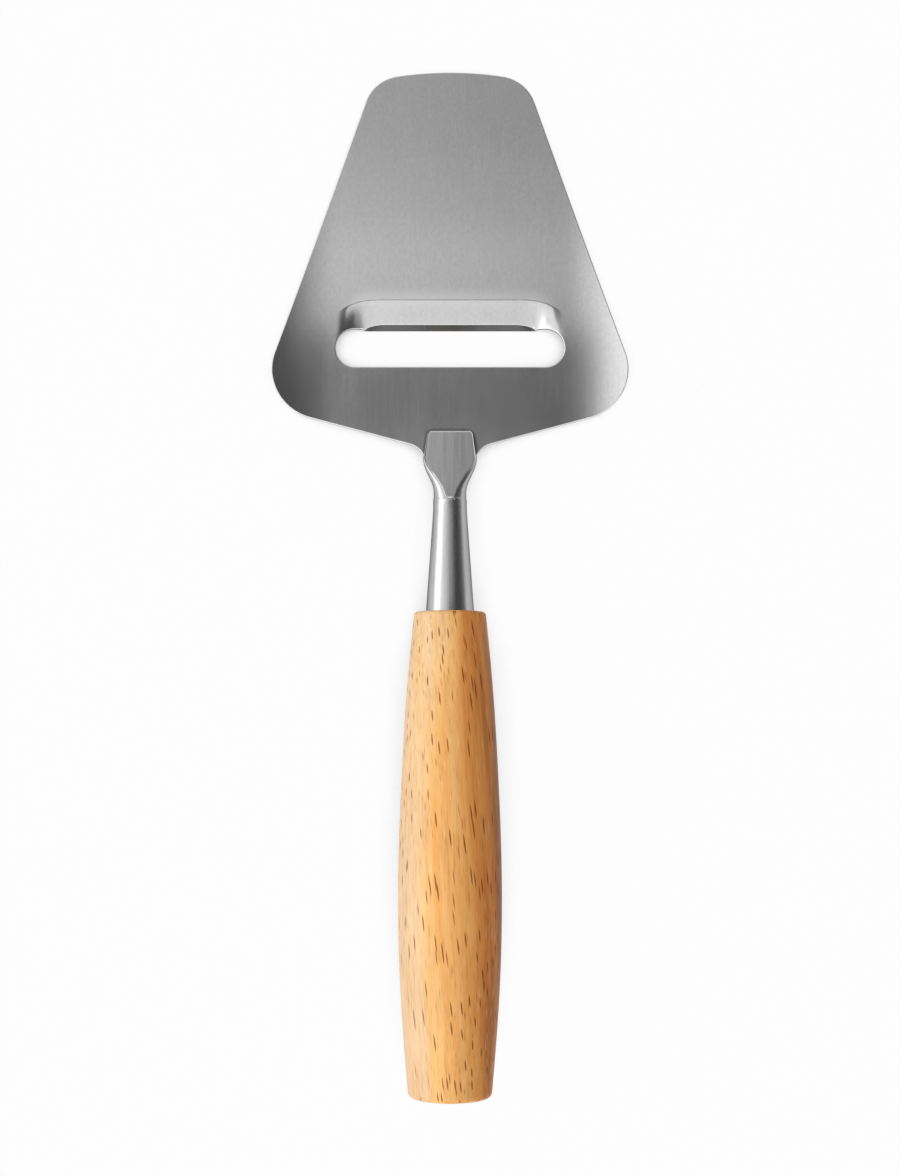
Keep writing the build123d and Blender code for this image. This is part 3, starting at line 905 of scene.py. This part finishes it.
def brushed_steel(
    name,
    colour,
    roughness,
    anisotropic,
    tilt=0.0,
    lines=0.03,
    grain=0.06,
    joint_painted_shade=0.0,
    uv_tangent=True,
):
    """Satin steel with fine scratches that run along the slicer, with a painted dark reflection on
    the ground bevel, painted shade in the joint with another piece, and lighter where the press has
    rubbed it, partly a painted highlight."""
    wiring = Wiring(name)
    shader = wiring.shader
    turn = (-tilt, 0, 0)
    scratches = wiring.noise((5.0, 0.10, 0.3), 3, 0.6, turn)
    streaks = wiring.noise((1.6, 0.05, 0.1), 4, 0.6, turn)
    mottle = wiring.noise((1.9, 1.0, 1.0), 4, 0.7, turn)
    clouds = wiring.noise((0.06, 0.035, 0.06), 3, 0.55, turn)

    def varied(pattern, amount):
        """The greys that a pattern gives, this far above and below its middle."""
        return wiring.ramp(pattern, (0.3, (1 - amount,) * 3), (0.7, (1 + amount,) * 3))

    tint = wiring.mix(1.0, varied(streaks, lines), colour, "MULTIPLY")
    tint = wiring.mix(1.0, tint, varied(scratches, lines), "MULTIPLY")
    tint = wiring.mix(1.0, tint, varied(mottle, grain), "MULTIPLY")
    cloudy = wiring.ramp(clouds, (0.3, (0.97, 0.97, 0.975)), (0.7, (1, 1, 1)))
    tint = wiring.mix(1.0, tint, cloudy, "MULTIPLY")
    # Lighter along the pressed bend: burnish from the press and a painted highlight
    burnish_and_painted_highlight = wiring.node("ShaderNodeAttribute", attribute_name="burnish_and_painted_highlight").outputs["Fac"]
    tint = wiring.mix(burnish_and_painted_highlight, tint, tuple(1.26 * c for c in colour))
    # Painted dark reflection: the ground bevel is coloured far darker than ground steel, with grind
    # marks in it
    ground = wiring.node("ShaderNodeAttribute", attribute_name="ground").outputs["Fac"]
    grinding = wiring.noise((8.0, 0.5, 0.5), 3, 0.6)
    painted_dark_bevel_tint = wiring.ramp(grinding, (0.3, (0.15, 0.15, 0.15)), (0.7, (0.21, 0.21, 0.21)))
    tint = wiring.mix(ground, tint, painted_dark_bevel_tint)
    # Painted shade: the steel is darkened where another piece stands near, in the joint
    if joint_painted_shade > 0:
        near = wiring.shade(JOINT_SHADE_REACH)
        painted_joint_shade_share = wiring.range(near, 0.55, 0.95, joint_painted_shade, 0)
        tint = wiring.mix(painted_joint_shade_share, tint, (0.06, 0.06, 0.06))
    wiring.feed("Base Color", tint)
    worn = wiring.range(clouds, 0.3, 0.7, roughness - 0.015, roughness + 0.02)
    drawn = wiring.range(streaks, 0.3, 0.7, -0.4 * lines, 0.4 * lines)
    wiring.feed("Roughness", wiring.math("ADD", worn, drawn))
    shader.inputs["Metallic"].default_value = 1.0
    shader.inputs["Anisotropic"].default_value = anisotropic
    shader.inputs["Specular Tint"].default_value = (0.2, 0.2, 0.2, 1)
    if uv_tangent:
        tangent = wiring.node("ShaderNodeTangent", direction_type="UV_MAP")
        tangent.uv_map = "across_and_along"
        wiring.feed("Tangent", tangent.outputs["Tangent"])
    under = wiring.bump(mottle, 0.03, 0.01)
    wiring.feed("Normal", wiring.bump(scratches, 0.05, 0.002, under))
    return wiring.owner


def beech():
    """Oiled beech: pale and darker streaks along the grain, fine fibres, short dark flecks, and
    painted light on its left side and painted shade on its right.
    """
    wiring = Wiring("oiled_beech")
    shader = wiring.shader
    tilt = -HANDLE_TILT_DEGREES
    turn = (tilt, 0, 3)
    bands = wiring.noise((0.22, 0.008, 0.16), 3, 0.55, turn)
    parts = wiring.node("ShaderNodeSeparateXYZ")
    wiring.join(wiring.place, parts.inputs["Vector"])
    # Painted light and shade: the base colour runs from pale at the handle's left side to dark
    # brown at its right, mixed with the grain's bands
    across = wiring.math("MULTIPLY", parts.outputs["X"], 1 / (PAINTED_LIGHT_TO_SHADE_WIDTH * MM))
    bands_and_painted_shade_across = wiring.math("ADD", across, wiring.range(bands, 0.25, 0.75, 0.25, 0.75))
    streaks = wiring.noise((1.0, 0.045, 1.0), 5, 0.65, turn)
    fibres = wiring.noise((4.5, 0.14, 4.5), 4, 0.65, turn)
    clouds = wiring.noise((0.12, 0.06, 0.12), 3, 0.6, turn)
    # Base colours from the pale, painted light side to the dark, painted shade side
    base = wiring.ramp(
        bands_and_painted_shade_across,
        (0.05, (0.73, 0.505, 0.310)),
        (0.28, (0.76, 0.500, 0.255)),
        (0.48, (0.85, 0.480, 0.170)),
        (0.66, (0.81, 0.365, 0.098)),
        (0.82, (0.71, 0.260, 0.058)),
        (0.97, (0.45, 0.150, 0.031)),
    )
    unchanged = (1, 1, 1)
    streaked = wiring.ramp(
        streaks, (0.28, (0.85, 0.80, 0.74)), (0.50, unchanged), (0.75, (1.03, 1.06, 1.10))
    )
    colour = wiring.mix(1.0, base, streaked, "MULTIPLY")
    fine = wiring.ramp(
        fibres, (0.30, (0.84, 0.79, 0.73)), (0.52, unchanged), (0.72, (1.02, 1.05, 1.10))
    )
    colour = wiring.mix(0.8, colour, fine, "MULTIPLY")
    cloudy = wiring.ramp(clouds, (0.3, (0.95, 0.92, 0.88)), (0.7, (1.02, 1.03, 1.05)))
    colour = wiring.mix(1.0, colour, cloudy, "MULTIPLY")

    def flecks(cycles, turn, size, soft):
        """Where short dashes of the grain lie: one in each cell, of this half width in cells."""
        cells = wiring.node("ShaderNodeTexVoronoi", {"Scale": 1.0, "Randomness": 1.0})
        wiring.join(wiring.stretched(cycles, turn), cells.inputs["Vector"])
        return wiring.range(cells.outputs["Distance"], size, size + soft, 1, 0)

    dark_flecks = flecks((1.1, 0.085, 1.1), (tilt, 0, 7), 0.15, 0.10)
    faint_flecks = flecks((1.5, 0.13, 1.5), (tilt, 0, 6), 0.12, 0.14)
    pale_flecks = flecks((0.9, 0.11, 0.9), (tilt, 0, 4), 0.08, 0.18)
    pale_share = wiring.math("MULTIPLY", pale_flecks, 0.35)
    faint_share = wiring.math("MULTIPLY", faint_flecks, 0.55)
    colour = wiring.mix(pale_share, colour, (0.86, 0.60, 0.34))
    colour = wiring.mix(faint_share, colour, (0.72, 0.55, 0.42), "MULTIPLY")
    colour = wiring.mix(dark_flecks, colour, (0.38, 0.22, 0.12), "MULTIPLY")
    wiring.feed("Base Color", colour)
    rough = wiring.range(streaks, 0.3, 0.7, 0.52, 0.42)
    rough = wiring.math("ADD", rough, wiring.math("MULTIPLY", dark_flecks, 0.12))
    wiring.feed("Roughness", rough)
    shader.inputs["Specular IOR Level"].default_value = 0.22
    grain = wiring.bump(fibres, 0.25, 0.03)
    sunk = wiring.math("SUBTRACT", streaks, dark_flecks)
    wiring.feed("Normal", wiring.bump(sunk, 0.3, 0.04, grain))
    return wiring.owner


def set_glue():
    """Set glue: amber, a little cloudy."""
    wiring = Wiring("set_epoxy")
    clouds = wiring.noise((0.5, 0.5, 0.5), 4, 0.6)
    colour = wiring.ramp(clouds, (0.3, (0.52, 0.36, 0.13)), (0.7, (0.66, 0.50, 0.22)))
    wiring.feed("Base Color", colour)
    wiring.feed("Roughness", wiring.range(clouds, 0.3, 0.7, 0.18, 0.30))
    wiring.feed("Normal", wiring.bump(clouds, 0.2, 0.05))
    return wiring.owner


def weld_metal():
    """Weld metal: grey, grainy, tinted where it was hot."""
    wiring = Wiring("weld_metal")
    grains = wiring.noise((3.0, 3.0, 3.0), 5, 0.65)
    heat = wiring.noise((0.4, 0.4, 0.4), 2, 0.5)
    grey = wiring.ramp(grains, (0.3, (0.30, 0.30, 0.31)), (0.7, (0.48, 0.48, 0.48)))
    tint = wiring.ramp(heat, (0.4, (1, 0.93, 0.84)), (0.6, (0.88, 0.92, 1)))
    wiring.feed("Base Color", wiring.mix(0.7, grey, tint, "MULTIPLY"))
    wiring.shader.inputs["Metallic"].default_value = 1.0
    wiring.feed("Roughness", wiring.range(grains, 0.3, 0.7, 0.5, 0.35))
    wiring.feed("Normal", wiring.bump(grains, 0.4, 0.05))
    return wiring.owner


def dress(piece, material):
    """Gives a piece one material."""
    piece.data.materials.clear()
    piece.data.materials.append(material)


# ---- Table, lights and camera ----


def table():
    """A wide white floor, which keeps the slicer's soft shadow, near the slicer mostly as a painted
    shadow, and turns up far away as a low backdrop."""
    profile = [(radius, TABLE_HEIGHT * MM + rise) for radius, rise in BACKDROP]
    floor = make_object("white_table", *turned(profile, BACKDROP_SIDES))
    wiring = Wiring("white_table")
    lit = wiring.shader
    lit.inputs["Base Color"].default_value = (TABLE_GREY, TABLE_GREY, TABLE_GREY, 1)
    lit.inputs["Roughness"].default_value = 0.9
    lit.inputs["Specular IOR Level"].default_value = 0.0

    # The white that the camera and the metal see, with a painted contact shadow: it dims close to
    # what stands over it
    white = wiring.node("ShaderNodeEmission")
    brightness = wiring.range(wiring.shade(TABLE_SHADE_REACH), 0, TABLE_OPEN_SHARE, 0, 1)
    wiring.join(brightness, white.inputs["Strength"])
    seen = wiring.rays("Is Camera Ray", "Is Glossy Ray", "Is Transmission Ray")
    share = wiring.math("MULTIPLY", seen, TABLE_WHITE_SHARE)
    look = wiring.blend(share, lit.outputs["BSDF"], white.outputs["Emission"])

    # A camera below the floor looks through it at the slicer's underside
    facing = wiring.node("ShaderNodeNewGeometry")
    below = wiring.math("MULTIPLY", wiring.rays("Is Camera Ray"), facing.outputs["Backfacing"])
    clear = wiring.node("ShaderNodeBsdfTransparent")
    look = wiring.blend(below, look, clear.outputs["BSDF"])
    wiring.join(look, wiring.tree.nodes["Material Output"].inputs["Surface"])
    dress(floor, wiring.owner)


def surroundings():
    """A studio that is bright at the left and at both ends, and dim at the right."""
    wiring = Wiring("studio", bpy.data.worlds)
    bpy.context.scene.world = wiring.owner
    parts = wiring.node("ShaderNodeSeparateXYZ")
    wiring.join(wiring.direction, parts.inputs["Vector"])

    def brightness(axis, stops):
        """The brightness along one axis, from (place between -1 and 1, brightness) pairs."""
        place = wiring.range(parts.outputs[axis], -1, 1, 0, 1)
        greys = [((at + 1) / 2, (level / BRIGHTEST,) * 3) for at, level in stops]
        return wiring.ramp(place, *greys)

    across = brightness("X", ACROSS_BRIGHTNESS)
    along = brightness("Y", ALONG_BRIGHTNESS)
    studio = wiring.tree.nodes["Background"]
    wiring.join(wiring.mix(1.0, across, along, "ADD"), studio.inputs["Color"])
    studio.inputs["Strength"].default_value = BRIGHTEST

    # Where the camera looks past the floor it sees white
    white = wiring.node("ShaderNodeBackground", {"Color": (1, 1, 1, 1), "Strength": 1})
    seen = wiring.rays("Is Camera Ray", "Is Transmission Ray")
    look = wiring.blend(seen, studio.outputs["Background"], white.outputs["Background"])
    wiring.join(look, wiring.tree.nodes["World Output"].inputs["Surface"])


def panel(name, x_range, y_range, brightness, drop=0):
    """A soft rectangular light overhead, facing down, of an even brightness, where 1 is white. It
    hangs this much lower than the others."""
    width, depth = (MM * (high - low) for low, high in (x_range, y_range))
    lamp = bpy.data.lights.new(name, "AREA")
    lamp.shape = "RECTANGLE"
    lamp.size, lamp.size_y = width, depth
    lamp.energy = brightness * math.pi * width * depth
    shown = bpy.data.objects.new(name, lamp)
    middle = (sum(x_range) / 2, sum(y_range) / 2, PANEL_HEIGHT - drop)
    shown.location = [MM * place for place in middle]
    shown.visible_camera = False
    bpy.context.scene.collection.objects.link(shown)


def lights():
    """Panels side by side. The dark gap between those over the tip and those over the handle is
    what the flat of the blade behind its slot mirrors."""
    panel("panel_left_of_the_tip", (-340, 0), (122, 640), 0.39)
    panel("panel_right_of_the_tip", (0, 200), (122, 640), 0.28)
    panel("near_edge_of_the_tip_panels", (-280, 90), (122, 172), 0.18, drop=1)
    panel("next_to_that_edge", (-280, 60), (122, 205), 0.10, drop=2)
    panel("panel_between_at_the_left", (-300, -120), (49, 122), 0.55)
    panel("panel_over_the_handle", (-240, 125), (-300, 49), 0.8)
    panel("panel_left_of_the_handle", (-420, -240), (-320, -110), 1.4)
    panel("panel_right_of_the_handle", (125, 420), (-300, -110), 0.3)
    panel("panel_over_the_butt", (-240, 240), (-560, -300), 0.75)
    panel("panel_far_to_the_right", (700, 2400), (700, 2400), 0.6)


def camera():
    """The camera, straight above the slicer and looking down."""
    data = bpy.data.cameras.new("camera")
    data.sensor_width = SENSOR
    data.lens = SENSOR / 2 / HALF_HEIGHT_SHARE
    shown = bpy.data.objects.new("camera", data)
    shown.location = (0, CAMERA_Y * MM, CAMERA_HEIGHT * MM)
    bpy.context.scene.collection.objects.link(shown)
    bpy.context.scene.camera = shown


blade_steel = brushed_steel(
    "blade_steel", (0.60, 0.60, 0.60), 0.185, 0.88, lines=0.013, joint_painted_shade=0.75
)
neck_steel = brushed_steel(
    "neck_steel", (0.475, 0.475, 0.48), 0.27, 0.3, HANDLE_TILT_DEGREES, lines=0.07, grain=0.03
)
rod_steel = brushed_steel("rod_steel", (0.50, 0.50, 0.51), 0.3, 0.0, uv_tangent=False)

for piece, node, slot, material in (
    (blade_sheet(), "blade_plate", "blade_steel", blade_steel),
    (neck(), "neck", "neck_steel", neck_steel),
    (handle(), "handle", "beech", beech()),
):
    dress(piece, material)
    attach(piece, "root")
    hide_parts(node)
dress(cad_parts["tang_rod"], rod_steel)
dress(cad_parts["tang_adhesive"], set_glue())
dress(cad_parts["weld_nuggets"], weld_metal())

table()
surroundings()
lights()
camera()
bpy.context.scene.view_settings.view_transform = "Standard"
